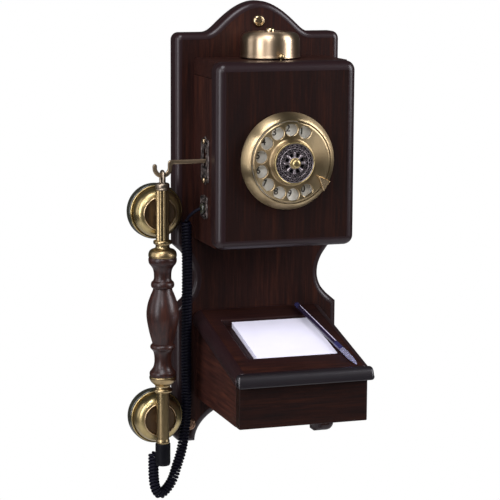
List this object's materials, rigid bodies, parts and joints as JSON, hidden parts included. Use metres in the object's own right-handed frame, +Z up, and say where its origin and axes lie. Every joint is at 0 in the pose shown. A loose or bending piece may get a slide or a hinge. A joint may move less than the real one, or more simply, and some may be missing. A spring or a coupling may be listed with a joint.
{
  "type": "wall telephone",
  "caption": "Slim wooden wall telephone with a bell, rotary dial, side hook and hanging handset on a curly cord, and a sloped writing desk with pad and pen.",
  "frame": {"origin": "centre of the backboard's back face, on the wall", "axes": "+X to the right seen from the front, +Y into the wall, +Z up"},
  "size_m": [0.2285, 0.171, 0.5016],
  "materials": {
    "mahogany": "polished, dark red-brown with vertical grain",
    "dark_moulding": "near-black gloss lacquer",
    "brass": "antique, darkened in the hollows",
    "dark_brass": "dark antique",
    "gunmetal": "dark, semi-gloss",
    "bakelite": "black gloss",
    "steel": "plain",
    "copper": "varnished winding",
    "enamel": "pale enamel",
    "paper": "matte white sheets",
    "pen_plastic": "gloss blue and clear",
    "fibre": "matte brown board",
    "cord": "navy-black, satin"
  },
  "bodies": {
    "cabinet": {"backboard": "mahogany", "box_left_side": "mahogany", "box_right_side": "mahogany", "box_top": "mahogany", "box_bottom": "mahogany", "front_panel": "mahogany", "desk_left_side": "mahogany", "desk_right_side": "mahogany", "desk_front": "mahogany", "desk_bottom": "mahogany", "desk_top": "mahogany", "desk_moulding": "dark_moulding", "board_screw_top": "brass", "board_screw_left": "brass", "board_screw_right": "brass", "bell_gong": "brass", "bell_nut": "brass", "dial_bezel": "brass", "finger_stop": "brass", "escutcheon_screw_upper": "brass", "escutcheon_screw_lower": "brass", "hook_escutcheon": "dark_brass", "outlet_escutcheon": "dark_brass", "cord_grommet": "bakelite", "bell_post": "steel", "ringer_frame": "steel", "dial_can": "steel", "dial_return_spring": "steel", "hook_bracket": "steel", "hook_pivot_pin": "steel", "hook_spring": "steel", "ringer_coil": "copper", "number_plate": "enamel", "hook_switch": "fibre", "circuit_board": "fibre", "cord_lead": "cord", "curly_cord": "cord"},
    "dial": {"finger_wheel": "brass", "medallion_ring": "brass", "medallion": "gunmetal", "medallion_boss": "brass", "dial_shaft_gear": "steel"},
    "governor_body": {"governor": "steel"},
    "hook": {"hook_lever": "dark_brass"},
    "handset": {"handset_eye": "dark_brass", "upper_rod": "brass", "upper_collar": "brass", "wood_grip": "mahogany", "lower_collar": "brass", "lower_rod": "brass", "cord_boot": "bakelite", "receiver_shell": "brass", "receiver_cap": "bakelite", "receiver_capsule": "gunmetal", "transmitter_shell": "brass", "transmitter_cap": "bakelite", "transmitter_capsule": "gunmetal"},
    "clapper_body": {"clapper": "steel"},
    "pad": {"note_pad": "paper"},
    "pen_body": {"pen": "pen_plastic"}
  },
  "joints": [
    {"name": "dial_spin", "type": "hinge", "parent": "cabinet", "child": "dial", "pos_m": [0, -0.12, 0.0741], "axis": [0, 1, 0], "range_deg": [0, 330], "stiffness_Nm_per_rad": 0.006, "springref_deg": -34.38},
    {"name": "governor_spin", "type": "hinge", "parent": "cabinet", "child": "governor_body", "pos_m": [0.0294, -0.084, 0.0741], "axis": [0, 1, 0], "range_deg": [-1320, 0]},
    {"name": "handset_lift", "type": "slide", "parent": "cabinet", "child": "handset", "axis": [-0.5446, 0, 0.8387], "range_m": [0, 0.12]},
    {"name": "hook_swing", "type": "hinge", "parent": "cabinet", "child": "hook", "pos_m": [-0.008, -0.059, 0.0706], "axis": [0, 1, 0], "range_deg": [0, 6]},
    {"name": "clapper_rock", "type": "hinge", "parent": "cabinet", "child": "clapper_body", "pos_m": [0, -0.0864, 0.1191], "axis": [1, 0, 0], "range_deg": [-0.7, 2], "stiffness_Nm_per_rad": 0.05},
    {"name": "pad_lift", "type": "slide", "parent": "cabinet", "child": "pad", "axis": [0, -0.2419, 0.9703], "range_m": [0, 0.03]},
    {"name": "pen_lift", "type": "slide", "parent": "pad", "child": "pen_body", "axis": [0, -0.2419, 0.9703], "range_m": [0, 0.03]}
  ],
  "couplings": [
    {"joint": "governor_spin", "follows": "dial_spin", "ratio": -4},
    {"joint": "hook_swing", "follows": "handset_lift", "rad_per_m": 0.872}
  ]
}
